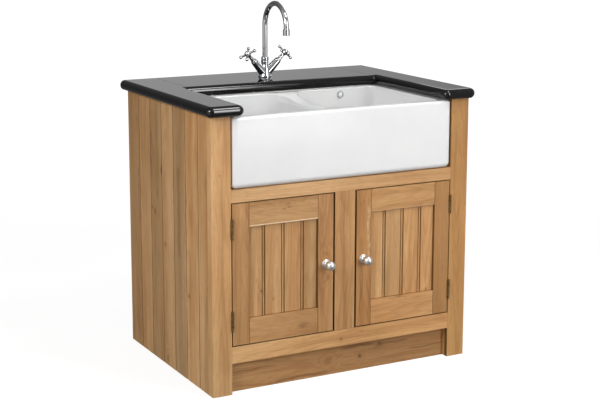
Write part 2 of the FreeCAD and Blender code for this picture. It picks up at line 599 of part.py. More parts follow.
# valve bonnets, spindles and crosshead handles
BALL_R, BALL_AT = 5.8, 29.0
SPINDLE_R = 4.0
for side, word, turn in ((-1, "left", 45.0), (1, "right", 0.0)):
    d = arm_dir(side)
    save(word + "_bonnet", turned([(SPINDLE_R + 0.05, 0.0), (9.4, 0.0), (9.4, 1.6), ((8.9, 3.0), (7.6, 3.8)), (7.0, 8.0),
                                   (SPINDLE_R + 0.05, 8.0)], along(side, ARM_L), d))
    save(word + "_spindle", cyl(along(side, ARM_L - 15), d, SPINDLE_R, HUB_S + 4 - (ARM_L - 15)))
    ax = V(*d)
    v1 = V(0, 1, 0) - ax * ax.y
    v1.normalize()
    u1 = v1.cross(ax)
    c = V(*along(side, HUB_S))
    hub = turned([(0.0, -26.0), (6.8, -26.0), ((7.2, -24.4), (6.6, -23.0)), (5.6, -14.0), ((6.9, -9.6), (9.4, -6.4)),
                  ((10.6, 0.0), (9.4, 6.0)), ((8.6, 7.6), (7.2, 8.2)), (0.0, 8.2)], along(side, HUB_S), d)
    bits = [hub]
    for k in range(4):
        a = math.radians(turn + 90 * k)
        q = u1 * math.cos(a) + v1 * math.sin(a)
        bits.append(Part.makeCone(4.2, 3.1, BALL_AT, c, q))
        bits.append(Part.makeSphere(BALL_R, c + q * BALL_AT))
    cross = fuse(bits)
    cross = cross.cut(cyl(along(side, HUB_S - 30), d, SPINDLE_R, 34.0))
    cap = turned([(0.0, 8.2), (6.4, 8.2), dome(6.4, 8.2, 3.6)], along(side, HUB_S), d)
    save(word + "_handle", [cross, cap])

# ---------------------------------------------------------------------------
# Hinge pieces on the frame, catches
# ---------------------------------------------------------------------------
save("hinge_frame_leaves", [h["frame"] for h in hinges] + [flip(h["frame"]) for h in hinges])
save("hinge_pins", [h["pin"] for h in hinges] + [flip(h["pin"]) for h in hinges])
frame_screws = []
for h in hinges:
    frame_screws += h["frame_screws"] + [flip(s) for s in h["frame_screws"]]
yb = F + FRAME_T
catch = fuse([box(-57.0, -18.0, yb, yb + 10.0, CATCH_Z - 15, CATCH_Z + 15),
              box(-57.0, -39.0, F + DOOR_T + 1.4, yb, CATCH_Z - 15, CATCH_Z + 15)])
for x, z in catch_screw_at:
    if x < 0:
        catch = catch.cut(cyl((x, yb - 0.1, z), (0, 1, 0), 1.55, 12))
        screw = cyl((x, yb - 12, z), (0, 1, 0), 1.5, 22).fuse(turned([(0.0, 0.0), (3.2, 0.0), dome(3.2, 0.0, 1.8)], (x, yb + 10.0, z), (0, 1, 0)))
        frame_screws += [screw, flip(screw)]
save("door_catches", [catch, flip(catch)])
save("hinge_and_catch_screws", frame_screws)

# ---------------------------------------------------------------------------
# Doors: left-hand pieces, mirrored for the right
# ---------------------------------------------------------------------------
DX0, DX1 = IL + GAP, -STILE / 2 - MEET_GAP
DZ0, DZ1 = Z_LOW1 + GAP, Z_RAIL0 - GAP
PX0, PX1 = DX0 + DOOR_STILE, -STILE / 2 - GAP - DOOR_STILE
PZ0, PZ1 = DZ0 + DOOR_LOW, DZ1 - DOOR_TOP
GY0, GY1 = F + PANEL_SET, F + PANEL_SET + PANEL_T
TY0, TY1 = F + 8.0, F + 16.0        # door tenons share the groove's place
DOOR_TENON = 30.0


def door_tenon(x0, x1, z0, z1):
    return box(x0, x1, TY0, TY1, z0, z1)


top_t = (PZ1 + PANEL_HOUSE, DZ1 - 14.0)
low_t = (DZ0 + 14.0, PZ0 - PANEL_HOUSE)
stile_h = eased(box(DX0, PX0, F, F + DOOR_T, DZ0, DZ1))
stile_l = eased(box(PX1, DX1, F, F + DOOR_T, DZ0, DZ1))
for z0, z1 in (top_t, low_t):
    stile_h = stile_h.cut(door_tenon(PX0 - DOOR_TENON, PX0 + 1, z0, z1))
    stile_l = stile_l.cut(door_tenon(PX1 - 1, PX1 + DOOR_TENON, z0, z1))
stile_h = stile_h.cut(box(PX0 - PANEL_HOUSE, PX0 + 1, GY0, GY1, PZ0 - PANEL_HOUSE, PZ1 + PANEL_HOUSE))
stile_l = stile_l.cut(box(PX1 - 1, PX1 + PANEL_HOUSE, GY0, GY1, PZ0 - PANEL_HOUSE, PZ1 + PANEL_HOUSE))
KNOB_X = PX1 + DOOR_STILE / 2
stile_l = stile_l.cut(cyl((KNOB_X, F - 1, KNOB_Z), (0, 1, 0), 2.05, DOOR_T + 2))
for h in hinges:
    stile_h = stile_h.cut(h["notch"]).cut(h["door_mortise"])
    for hole in h["door_holes"]:
        stile_h = stile_h.cut(hole)

rail_t = fuse([box(PX0, PX1, F, F + DOOR_T, PZ1, DZ1), door_tenon(PX0 - DOOR_TENON, PX0, *top_t),
               door_tenon(PX1, PX1 + DOOR_TENON, *top_t)])
rail_t = rail_t.cut(box(PX0, PX1, GY0, GY1, PZ1 - 1, PZ1 + PANEL_HOUSE))
rail_t = rail_t.cut(Part.Face(Part.makePolygon([V(PX0 - 1, F - 1, PZ1 + 4.0), V(PX0 - 1, F + 4.0, PZ1 - 1), V(PX0 - 1, F - 1, PZ1 - 1),
                                                V(PX0 - 1, F - 1, PZ1 + 4.0)])).extrude(V(PX1 - PX0 + 2, 0, 0)))
rail_b = fuse([box(PX0, PX1, F, F + DOOR_T, DZ0, PZ0), door_tenon(PX0 - DOOR_TENON, PX0, *low_t),
               door_tenon(PX1, PX1 + DOOR_TENON, *low_t)])
rail_b = rail_b.cut(box(PX0, PX1, GY0, GY1, PZ0 - PANEL_HOUSE, PZ0 + 1))

# four beaded boards in the grooves of the frame
mid = (PX0 + PX1) / 2
joints = [mid - BOARD, mid, mid + BOARD]
ends = [PX0 - PANEL_HOUSE + 1.0] + [j + BEAD for j in joints] + [PX1 + PANEL_HOUSE - 1.0]
pz0, pz1 = PZ0 - PANEL_HOUSE + 1.0, PZ1 + PANEL_HOUSE - 1.0
panel = []
for i in range(4):
    a, b = ends[i], ends[i + 1]
    y0, y1 = GY0, GY1
    pts = [(a, y0)] if i == 0 else [(a, y0 + 3.0), (a + 0.8, y0 + 3.0), (a + 1.7, y0)]
    if i < 3:
        q = joints[i] - BEAD
        pts += [(q - 1.5, y0), (q - 0.6, y0 + 3.0), (q + 0.6, y0 + 3.0), (q + 1.4, y0 + 1.2), (q + 2.5, y0 + 0.3), (q + 3.7, y0),
                (b - 4.3, y0), (b - 3.1, y0 + 0.3), (b - 2.0, y0 + 1.2), (b - 1.2, y0 + 3.0), (b, y0 + 3.0), (b, y0 + 3.4),
                (b + 3.6, y0 + 3.4), (b + 3.6, y0 + 5.4), (b, y0 + 5.4), (b, y1)]
    else:
        pts += [(b, y0), (b, y1)]
    pts += [(a, y1)]
    if i > 0:
        pts += [(a, y0 + 5.4), (a + 4.0, y0 + 5.4), (a + 4.0, y0 + 3.4), (a, y0 + 3.4)]
    panel.append(prism(pts, pz0, pz1))

knob = turned([(0.0, 0.0), (15.0, 0.0), (15.0, 1.8), ((14.2, 3.5), (12.2, 4.2)), ((8.1, 6.6), (6.6, 11.0)),
               (6.6, KNOB_PROJ - KNOB_R - math.sqrt(KNOB_R ** 2 - 6.6 ** 2)),
               ((KNOB_R, KNOB_PROJ - KNOB_R), (0.0, KNOB_PROJ))], (KNOB_X, F, KNOB_Z), (0, -1, 0))
knob = knob.cut(cyl((KNOB_X, F + 1, KNOB_Z), (0, -1, 0), 2.0, 15))
knob_screw = cyl((KNOB_X, F + DOOR_T, KNOB_Z), (0, -1, 0), 2.0, DOOR_T + 13).fuse(
    turned([(0.0, 0.0), (4.4, 0.0), dome(4.4, 0.0, 2.5)], (KNOB_X, F + DOOR_T, KNOB_Z), (0, 1, 0)))
strike = box(-57.0, DX1, F + DOOR_T, F + DOOR_T + 1.0, CATCH_Z - 15, CATCH_Z + 15)
door_screws = [knob_screw]
for h in hinges:
    door_screws += h["door_screws"]

for word, side in (("left", 0), ("right", 1)):
    def put(s):
        return flip(s) if side else s
    save(word + "_door_stiles", [put(stile_h), put(stile_l)])
    save(word + "_door_rails", [put(rail_t), put(rail_b)])
    save(word + "_door_panel", [put(s) for s in panel])
    save(word + "_door_knob", put(knob))
    save(word + "_hinge_leaves", [put(h["door"]) for h in hinges])
    save(word + "_door_strike", put(strike))
    save(word + "_door_screws", [put(s) for s in door_screws])
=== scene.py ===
import math

import bpy
from mathutils import Matrix, Vector

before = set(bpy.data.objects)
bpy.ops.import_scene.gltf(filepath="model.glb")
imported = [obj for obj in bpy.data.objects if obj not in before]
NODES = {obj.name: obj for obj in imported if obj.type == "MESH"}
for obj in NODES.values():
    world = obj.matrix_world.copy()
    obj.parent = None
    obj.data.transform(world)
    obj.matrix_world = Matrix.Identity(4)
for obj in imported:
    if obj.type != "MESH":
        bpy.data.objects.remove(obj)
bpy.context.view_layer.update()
scene = bpy.context.scene


# ---------------------------------------------------------------------------
# Node helpers
# ---------------------------------------------------------------------------
class Mat:
    """A material with short calls for the nodes used here."""

    def __init__(self, name):
        self.mat = bpy.data.materials.new(name)
        self.mat.use_nodes = True
        self.nt = self.mat.node_tree
        self.nt.nodes.clear()
        out = self.nt.nodes.new("ShaderNodeOutputMaterial")
        self.bsdf = self.nt.nodes.new("ShaderNodeBsdfPrincipled")
        self.nt.links.new(self.bsdf.outputs["BSDF"], out.inputs["Surface"])

    def put(self, socket, value):
        if isinstance(value, bpy.types.NodeSocket):
            self.nt.links.new(value, socket)
        else:
            socket.default_value = value

    def set(self, name, value):
        self.put(self.bsdf.inputs[name], value)

    def coords(self):
        return self.nt.nodes.new("ShaderNodeTexCoord").outputs["Object"]

    def sep(self, v):
        n = self.nt.nodes.new("ShaderNodeSeparateXYZ")
        self.put(n.inputs[0], v)
        return n.outputs[0], n.outputs[1], n.outputs[2]

    def comb(self, x, y, z):
        n = self.nt.nodes.new("ShaderNodeCombineXYZ")
        for i, v in enumerate((x, y, z)):
            self.put(n.inputs[i], v)
        return n.outputs[0]

    def math(self, op, a, b=0.0, clamp=False):
        n = self.nt.nodes.new("ShaderNodeMath")
        n.operation = op
        n.use_clamp = clamp
        self.put(n.inputs[0], a)
        self.put(n.inputs[1], b)
        return n.outputs[0]

    def add(self, a, b):
        return self.math("ADD", a, b)

    def sub(self, a, b):
        return self.math("SUBTRACT", a, b)

    def mul(self, a, b):
        return self.math("MULTIPLY", a, b)

    def vec(self, op, a, b):
        n = self.nt.nodes.new("ShaderNodeVectorMath")
        n.operation = op
        self.put(n.inputs[0], a)
        self.put(n.inputs[1], b)
        return n.outputs["Value"] if op in ("LENGTH", "DISTANCE", "DOT_PRODUCT") else n.outputs["Vector"]

    def noise(self, v, scale, detail=2.0, rough=0.5, dist=0.0, colour=False):
        n = self.nt.nodes.new("ShaderNodeTexNoise")
        self.put(n.inputs["Vector"], v)
        n.inputs["Scale"].default_value = scale
        n.inputs["Detail"].default_value = detail
        n.inputs["Roughness"].default_value = rough
        n.inputs["Distortion"].default_value = dist
        return n.outputs["Color"] if colour else n.outputs[0]

    def voronoi(self, v, scale, feature="F1", out="Distance", rand=1.0):
        n = self.nt.nodes.new("ShaderNodeTexVoronoi")
        n.feature = feature
        self.put(n.inputs["Vector"], v)
        n.inputs["Scale"].default_value = scale
        n.inputs["Randomness"].default_value = rand
        return n.outputs[out]

    def ramp(self, fac, stops, interp="LINEAR"):
        n = self.nt.nodes.new("ShaderNodeValToRGB")
        r = n.color_ramp
        r.interpolation = interp
        while len(r.elements) > 1:
            r.elements.remove(r.elements[-1])
        for i, (p, c) in enumerate(stops):
            e = r.elements[0] if i == 0 else r.elements.new(p)
            e.position = p
            c = (c, c, c) if isinstance(c, (int, float)) else c
            e.color = (c[0], c[1], c[2], 1.0)
        self.put(n.inputs[0], fac)
        return n.outputs["Color"]

    def mix(self, fac, a, b, mode="MIX"):
        n = self.nt.nodes.new("ShaderNodeMix")
        n.data_type = "RGBA"
        n.blend_type = mode
        n.clamp_factor = True
        self.put(n.inputs[0], fac)
        for i, v in ((6, a), (7, b)):
            if not isinstance(v, bpy.types.NodeSocket):
                v = (v, v, v, 1.0) if isinstance(v, (int, float)) else (v[0], v[1], v[2], 1.0)
            self.put(n.inputs[i], v)
        return n.outputs[2]

    def span(self, v, a, b, c=0.0, d=1.0, smooth=True):
        n = self.nt.nodes.new("ShaderNodeMapRange")
        n.interpolation_type = "SMOOTHSTEP" if smooth else "LINEAR"
        n.clamp = True
        self.put(n.inputs[0], v)
        for i, k in enumerate((a, b, c, d)):
            n.inputs[i + 1].default_value = k
        return n.outputs[0]

    def bump(self, height, strength, distance):
        n = self.nt.nodes.new("ShaderNodeBump")
        n.inputs["Strength"].default_value = strength
        n.inputs["Distance"].default_value = distance
        self.put(n.inputs["Height"], height)
        self.set("Normal", n.outputs["Normal"])


def wear(node, *materials):
    """Puts materials on a CAD node's slots."""
    slots = NODES[node].material_slots
    for i, m in enumerate(materials):
        slots[i].material = m.mat


# ---------------------------------------------------------------------------
# Oak: streaks, growth rings, pores, fibres and knots along one axis
# ---------------------------------------------------------------------------
F, B = -0.327, 0.347
SHIFTS = (0.13, 0.71, 0.37, 0.92, 0.05, 0.58, 0.83, 0.26)
X, Y, Z = 0, 1, 2


def oak(name, grain, across, seed, tone=1.0, tint=(1.0, 1.0, 1.0), bands=None, knots=(), lines=(), pale=None, rough=0.47, seams=(), shade_drift=None):
    """bands: (axis, joints, tones) for a node of several boards side by side.
    knots: (across, along, radius across, radius along, strength) in metres.
    lines: (across, along from, along to, half width, strength); a negative strength lightens.
    pale: (axis, from, to, strength), a lighter arris.
    shade_drift: (axis, from, to, tone there), painted shade, a slow change of tone from 1 along the board.
    seams: (axis, place, half width, strength[, from height, to height]), painted shade in and beside gaps and grooves,
    and dark lines at joints, down to 14 mm behind the face."""
    m = Mat(name)
    xyz = m.sep(m.coords())
    g, a, b = xyz[grain], xyz[across], xyz[3 - grain - across]
    board_tone = None
    if bands:
        axis, joints, tones = bands
        lo, hi = joints[0] - 0.3, joints[-1] + 0.3
        at = [0.0] + [(j - lo) / (hi - lo) for j in joints]
        place = m.span(xyz[axis], lo, hi, smooth=False)
        warm = (1.0, 1.0, 1.0) if across == Y else (1.0, 1.2, 1.5)   # a darker board of the front is a warmer one
        board_tone = m.ramp(place, [(p, tuple(t ** e * 0.5 for e in warm)) for p, t in zip(at, tones)], "CONSTANT")
        k = int(seed * 7) % len(SHIFTS)
        shift = m.ramp(place, [(p, SHIFTS[(i + k) % len(SHIFTS)]) for i, p in enumerate(at)], "CONSTANT")
        shift = m.mul(shift, 23.0)
        gs, as_, bs = m.add(g, shift), m.add(a, m.mul(shift, 0.37)), m.add(b, seed * 1.7)
    else:
        gs, as_, bs = m.add(g, seed * 5.3), m.add(a, seed * 2.1), m.add(b, seed * 1.7)

    def field(ka, kg, detail, r=0.5, off=0.0):
        return m.noise(m.comb(m.mul(as_, ka), m.add(m.mul(bs, ka), off), m.mul(gs, kg)), 1.0, detail, r)

    streak = field(34.0, 1.5, 4.0, 0.58)
    band = field(11.0, 0.9, 2.0, 0.5, 3.0)
    blotch = field(8.0, 3.2, 2.5, 0.55, 7.0)
    phase = m.mul(field(7.5, 0.62, 1.6, 0.45, 11.0), 34.0)
    phase = m.add(phase, m.mul(streak, 0.9))
    knot_core = knot_halo = None
    if knots:
        wob_a = m.mul(m.sub(m.noise(m.comb(m.mul(as_, 60.0), bs, m.mul(gs, 28.0)), 1.0, 2.0), 0.5), 0.012)
        for ka, kg, ra, rg, st in knots:
            da = m.math("DIVIDE", m.sub(m.add(a, wob_a), ka), ra)
            dg = m.math("DIVIDE", m.sub(m.add(g, wob_a), kg), rg)
            d = m.math("SQRT", m.add(m.mul(da, da), m.mul(dg, dg)))
            core = m.mul(m.span(d, 0.15, 1.0, 1.0, 0.0), st)
            halo = m.mul(m.span(d, 0.4, 2.8, 1.0, 0.0), min(1.0, abs(st) * 1.2))
            knot_core = core if knot_core is None else m.math("MAXIMUM", knot_core, core)
            knot_halo = halo if knot_halo is None else m.math("MAXIMUM", knot_halo, halo)
        phase = m.add(phase, m.mul(knot_halo, 4.5))
    ring = m.ramp(m.math("FRACT", phase),
                  [(0.0, 0.0), (0.45, 0.22), (0.80, 0.95), (0.90, 0.8), (1.0, 0.0)])
    fibre = field(560.0, 15.0, 2.0, 0.6, 5.0)
    pore = m.mul(m.span(field(820.0, 30.0, 1.0, 0.5, 9.0), 0.60, 0.70), m.span(ring, 0.0, 0.9, 1.0, 0.35))

    t = m.add(m.mul(m.sub(streak, 0.5), 0.95), m.mul(m.sub(band, 0.5), 0.75))
    t = m.add(t, m.mul(m.sub(blotch, 0.5), 0.55))
    t = m.add(m.sub(t, m.mul(ring, 0.16)), 0.56)

    def c(r, gr, bl):
        return (r * tone * tint[0], gr * tone * tint[1], bl * tone * tint[2])

    col = m.ramp(t, [(0.0, c(0.315, 0.150, 0.050)), (0.30, c(0.430, 0.222, 0.082)), (0.52, c(0.530, 0.295, 0.120)),
                     (0.75, c(0.605, 0.355, 0.158)), (1.0, c(0.690, 0.440, 0.220))])
    hue = field(5.0, 1.1, 1.5, 0.5, 21.0)
    col = m.mix(m.span(hue, 0.36, 0.66), col, m.mix(1.0, col, (1.01, 0.945, 0.90), "MULTIPLY"))
    grey = m.add(m.mul(fibre, 0.20), 0.90)
    col = m.mix(1.0, col, m.comb(grey, grey, grey), "MULTIPLY")
    thread = m.add(m.mul(field(210.0, 9.0, 2.0, 0.55, 31.0), 0.30), 0.85)
    col = m.mix(1.0, col, m.comb(thread, thread, thread), "MULTIPLY")
    col = m.mix(m.mul(pore, 0.42), col, (0.20, 0.095, 0.038))
    if board_tone is not None:
        col = m.mix(1.0, col, m.mix(1.0, board_tone, (2.0, 2.0, 2.0), "MULTIPLY"), "MULTIPLY")
    # painted shade: the tone falls slowly along the board, blue and green faster, so that it warms as it darkens
    if shade_drift:
        axis, p0, p1, t1 = shade_drift
        q = m.span(xyz[axis], p0, p1, 1.0, t1)
        col = m.mix(1.0, col, m.comb(q, m.math("POWER", q, 1.25), m.math("POWER", q, 1.6)), "MULTIPLY")
    if knots:
        col = m.mix(m.mul(knot_halo, 0.42), col, c(0.36, 0.165, 0.062))
        col = m.mix(knot_core, col, (0.095, 0.040, 0.016))
    for la, g0, g1, hw, st in lines:
        wob = m.mul(m.sub(m.noise(m.comb(0.0, 3.0 + la * 40.0, m.mul(gs, 16.0)), 1.0, 2.0), 0.5), 0.016)
        d = m.math("ABSOLUTE", m.sub(m.add(a, wob), la))
        mask = m.span(d, hw * 0.25, hw, 1.0, 0.0)
        ends = m.mul(m.span(g, g0, g0 + 0.03), m.span(g, g1 - 0.03, g1, 1.0, 0.0))
        if st < 0:
            mask = m.mul(mask, m.span(m.noise(m.comb(m.mul(a, 160.0), 8.0, m.mul(g, 46.0)), 1.0, 3.0, 0.6), 0.38, 0.62))
        mask = m.mul(m.mul(mask, ends), abs(st))
        col = m.mix(mask, col, (0.15, 0.066, 0.026) if st > 0 else c(0.78, 0.55, 0.33))
    if pale:
        axis, p0, p1, st = pale
        mask = m.mul(m.span(xyz[axis], p0 - 0.0012, p0 + 0.0004), m.span(xyz[axis], p1 - 0.0006, p1 + 0.0012, 1.0, 0.0))
        col = m.mix(m.mul(mask, st), col, c(1.0, 0.76, 0.50))
    # painted shade: the seams darken gaps and grooves where shade falls, and draw dark lines at joints
    gap_shade_and_joint_line = None
    for axis, place, hw, st, *zs in seams:
        mask = m.mul(m.span(m.math("ABSOLUTE", m.sub(xyz[axis], place)), hw * 0.45, hw, 1.0, 0.0), st)
        if zs:
            mask = m.mul(mask, m.mul(m.span(xyz[Z], zs[0] - 0.002, zs[0]), m.span(xyz[Z], zs[1], zs[1] + 0.002, 1.0, 0.0)))
        gap_shade_and_joint_line = mask if gap_shade_and_joint_line is None else m.math("MAXIMUM", gap_shade_and_joint_line, mask)
    if gap_shade_and_joint_line is not None:
        if across != Y:
            gap_shade_and_joint_line = m.mul(gap_shade_and_joint_line, m.span(xyz[Y], F + 0.010, F + 0.018, 1.0, 0.0))
        col = m.mix(gap_shade_and_joint_line, col, (0.040, 0.016, 0.005))
    m.set("Base Color", col)
    m.set("Roughness", m.add(m.add(m.mul(fibre, 0.14), m.mul(ring, -0.05)), rough - 0.05))
    m.set("IOR", 1.48)
    m.set("Specular IOR Level", m.mul(m.sub(1.0, gap_shade_and_joint_line), 0.42) if gap_shade_and_joint_line is not None else 0.42)
    h = m.sub(m.add(m.mul(fibre, 0.55), m.mul(ring, 0.25)), m.mul(pore, 0.9))
    m.bump(h, 0.35, 0.0006)
    return m


mm = 0.001
SIDE_JOINTS = [F + j * mm for j in (100, 196, 291, 387, 482, 578)]
# painted shade in the V-joints between the side boards
VEES = [(Y, j, 0.0036, 0.80) for j in SIDE_JOINTS]
# the left side is darker and warmer towards its top: painted shade under the worktop's overhang
side_l = oak("oak_left_side", Z, Y, 0.31, tint=(1.02, 1.06, 1.14), bands=(Y, SIDE_JOINTS, (1.09, 1.19, 0.78, 1.04, 0.80, 1.00, 0.82)),
             knots=((0.0646, 0.655, 0.004, 0.030, 0.85), (0.100, 0.570, 0.005, 0.022, 0.6), (0.120, 0.503, 0.010, 0.016, 0.7),
                    (0.142, 0.513, 0.007, 0.008, 0.6), (0.0365, 0.409, 0.008, 0.008, 0.6), (-0.151, 0.282, 0.008, 0.008, 0.8),
                    (0.028, 0.022, 0.012, 0.02, 0.35)),
             lines=((-0.134, 0.40, 0.66, 0.006, 0.45), (0.262, 0.42, 0.64, 0.008, 0.35), (-0.078, 0.38, 0.70, 0.016, 0.30)),
             seams=VEES, shade_drift=(Z, 0.42, 0.80, 0.91))
side_r = oak("oak_right_side", Z, Y, 0.77, bands=(Y, SIDE_JOINTS, (1.0, 0.92, 1.06, 0.9, 1.02, 0.86, 1.0)),
             knots=((-0.05, 0.62, 0.008, 0.010, 0.8), (0.11, 0.27, 0.010, 0.013, 0.7), (0.20, 0.71, 0.005, 0.02, 0.6)), seams=VEES)
wear("left_side_boards", side_l)
wear("right_side_boards", side_r)
# painted shade in the gap between the left post and the door
wear("left_front_post", oak("oak_left_post", Z, X, 0.31, 1.15, (1.0, 1.05, 1.12), knots=((-0.437, 0.700, 0.004, 0.006, 0.25),),
                            seams=((X, -0.399, 0.0010, 0.8, 0.0, 0.612),)))
# painted shade: the right post darker and warmer towards its top, and in the gap beside the door
wear("right_front_post", oak("oak_right_post", Z, X, 0.52, 0.98, (1.0, 0.945, 0.79), shade_drift=(Z, 0.45, 0.85, 0.80),
                             seams=((X, 0.399, 0.0010, 0.8, 0.0, 0.612),)))
# painted shade: the sink rail darker towards the right, and in the gap above the doors
wear("sink_rail", oak("oak_sink_rail", X, Z, 0.15, 1.12, (1.0, 1.07, 1.18), shade_drift=(X, -0.30, 0.30, 0.90), seams=((Z, 0.609, 0.0010, 0.7),)))
# painted shade in the gap below the doors
wear("bottom_rail", oak("oak_bottom_rail", X, Z, 0.66, 1.20,
                        knots=((0.123, -0.011, 0.007, 0.008, 0.55), (0.137, 0.065, 0.003, 0.006, 0.45)),
                        seams=((Z, 0.155, 0.0012, 0.8),)))
# painted shade in the gaps where the doors close against the centre stile
wear("centre_stile", oak("oak_centre_stile", Z, X, 0.93, 1.02, lines=((-0.004, 0.24, 0.58, 0.004, 0.25),),
                         seams=((X, -0.0375, 0.0014, 0.9), (X, 0.0375, 0.0014, 0.9))))
# painted shade: the plinth darker towards the right
wear("plinth_board", oak("oak_plinth", X, Z, 0.44, 0.94, shade_drift=(X, -0.30, 0.25, 0.80),
                         knots=((0.0444, 0.074, 0.010, 0.011, 0.75), (0.0776, 0.149, 0.008, 0.012, 0.65),
                                (0.045, -0.045, 0.014, 0.022, 0.30)),
                         lines=((0.080, -0.01, 0.14, 0.007, 0.5), (0.074, 0.12, 0.27, 0.006, 0.5), (0.042, 0.25, 0.42, 0.003, 0.6),
                                (0.064, -0.40, -0.24, 0.003, 0.4), (0.010, -0.25, -0.03, 0.007, 0.5))))

PANEL_L = [-0.28625, -0.21825, -0.15025]
JX = [j + 0.0043 for j in PANEL_L]


def door_seams(way):
    """Painted shade in the gaps round a door, where its panel meets the frame and in the panel's grooves, and dark
    lines at the joints of its stiles and rails. way is 1 for the left door, -1 for the right.
    """
    gaps = [(Z, 0.607, 0.0012, 0.75), (Z, 0.157, 0.0012, 0.75)]
    stiles = gaps + [(X, way * -0.397, 0.0012, 0.85), (X, way * -0.042, 0.0013, 0.85),
                     (X, way * -0.339, 0.0011, 0.65), (X, way * -0.0975, 0.0011, 0.72)]
    rails = gaps + [(X, way * -0.339, 0.0017, 0.60), (X, way * -0.0975, 0.0017, 0.45)]
    panel = [(X, way * -0.339, 0.0030, 0.45), (X, way * -0.0975, 0.0036, 0.60), (Z, 0.529, 0.0022, 0.5), (Z, 0.238, 0.0034, 0.62)]
    for j in PANEL_L:
        panel += [(X, way * (j - 0.0043), 0.0023, 0.72), (X, way * (j + 0.0043), 0.0023, 0.72)]
    return stiles, rails, panel


SEAM_L, SEAM_R = door_seams(1), door_seams(-1)
wear("left_door_panel", oak("oak_left_panel", Z, X, 0.21, bands=(X, JX, (1.04, 0.95, 1.08, 0.77)),
                            knots=((-0.2947, 0.318, 0.005, 0.006, 0.6), (-0.251, 0.290, 0.005, 0.006, 0.35)),
                            seams=SEAM_L[2]))
wear("right_door_panel", oak("oak_right_panel", Z, X, 0.83, bands=(X, [-j for j in reversed(JX)], (1.24, 0.96, 1.23, 1.23)),
                             knots=((0.3157, 0.2445, 0.0035, 0.0035, 0.8),), seams=SEAM_R[2]))
wear("left_door_stiles", oak("oak_left_stiles", Z, X, 0.05, bands=(X, [-0.218], (0.87, 0.94)),
                             # these two knots are weak dark patches just above and below the knob
                             knots=((-0.065, 0.411, 0.012, 0.012, 0.28), (-0.062, 0.334, 0.012, 0.014, 0.28)),
                             seams=SEAM_L[0]))
wear("right_door_stiles", oak("oak_right_stiles", Z, X, 0.61, tint=(1.0, 0.955, 0.88), bands=(X, [0.218], (0.88, 0.77)),
                              knots=((0.059, 0.560, 0.002, 0.014, 0.5), (0.070, 0.572, 0.002, 0.012, 0.5)),
                              lines=((0.089, 0.36, 0.57, 0.009, -0.6), (0.058, 0.18, 0.34, 0.003, 0.35), (0.066, 0.25, 0.36, 0.003, 0.3)),
                              seams=SEAM_R[0]))
wear("left_door_rails", oak("oak_left_rails", X, Z, 0.72, bands=(Z, [0.38], (0.905, 0.945)),
                            knots=((0.5738, -0.2185, 0.0022, 0.006, 0.75), (0.5785, -0.199, 0.0022, 0.007, 0.75),
                                   (0.588, -0.204, 0.007, 0.015, 0.30), (0.190, -0.150, 0.014, 0.026, 0.36)),
                            pale=(Z, 0.529, 0.5335, 1.0), seams=SEAM_L[1]))
wear("right_door_rails", oak("oak_right_rails", X, Z, 0.38, tint=(1.02, 0.98, 0.93), bands=(Z, [0.38], (1.07, 1.02)),
                             knots=((0.236, 0.206, 0.004, 0.020, 0.5),), pale=(Z, 0.529, 0.533, 0.25), seams=SEAM_R[1]))
hidden = oak("oak_carcase", X, Z, 0.87, 0.95)
for n in ("back_rails", "sink_bearers"):
    wear(n, hidden)
wear("side_battens", oak("oak_battens", Y, Z, 0.57, 0.95))
veneer = oak("oak_faced_board", X, Y, 0.28, 1.02, (1.0, 1.02, 1.06), rough=0.40)
wear("cupboard_floor", veneer)
wear("back_panel", oak("oak_faced_back", X, Z, 0.48, 1.0, (1.0, 1.02, 1.06), rough=0.40))

# ---------------------------------------------------------------------------
# Stone, glaze, metals, plastics
# ---------------------------------------------------------------------------


def granite(name, seed):
    m = Mat(name)
    v = m.vec("ADD", m.coords(), (seed, seed * 0.7, seed * 1.3))
    grain = m.noise(v, 420.0, 3.0, 0.65)
    cell = m.sep(m.voronoi(v, 640.0, out="Color"))[0]
    fleck = m.span(cell, 0.90, 0.96)
    fine = m.span(m.sep(m.voronoi(v, 1500.0, out="Color"))[1], 0.93, 0.98)
    cloud = m.noise(v, 14.0, 3.0, 0.6)
    col = m.ramp(grain, [(0.30, (0.001, 0.001, 0.001)), (0.55, (0.0025, 0.0025, 0.0025)), (0.75, (0.006, 0.006, 0.006))])
    col = m.mix(m.mul(m.mul(fleck, m.span(cloud, 0.35, 0.65)), 0.6), col, (0.032, 0.033, 0.034))
    col = m.mix(m.mul(fine, 0.3), col, (0.06, 0.059, 0.056))
    m.set("Base Color", col)
    m.set("Roughness", m.add(m.add(m.mul(grain, 0.03), m.mul(cloud, 0.03)), 0.01))
    m.set("IOR", 1.52)
    # the under half of the edges over the sink is honed, not polished
    x, y, z = m.sep(m.coords())
    honed = m.mul(m.mul(m.span(m.math("ABSOLUTE", x), 0.376, 0.384, 1.0, 0.0), m.span(y, -0.325, -0.312)), m.span(z, 0.882, 0.891, 1.0, 0.0))
    m.set("Specular IOR Level", m.sub(0.5, m.mul(honed, 0.42)))
    m.bump(m.add(grain, m.mul(fleck, 0.5)), 0.02, 0.0002)
    return m


for i, n in enumerate(("worktop_left", "worktop_back", "worktop_right")):
    wear(n, granite("black_granite_%d" % (i + 1), 1.37 * i))


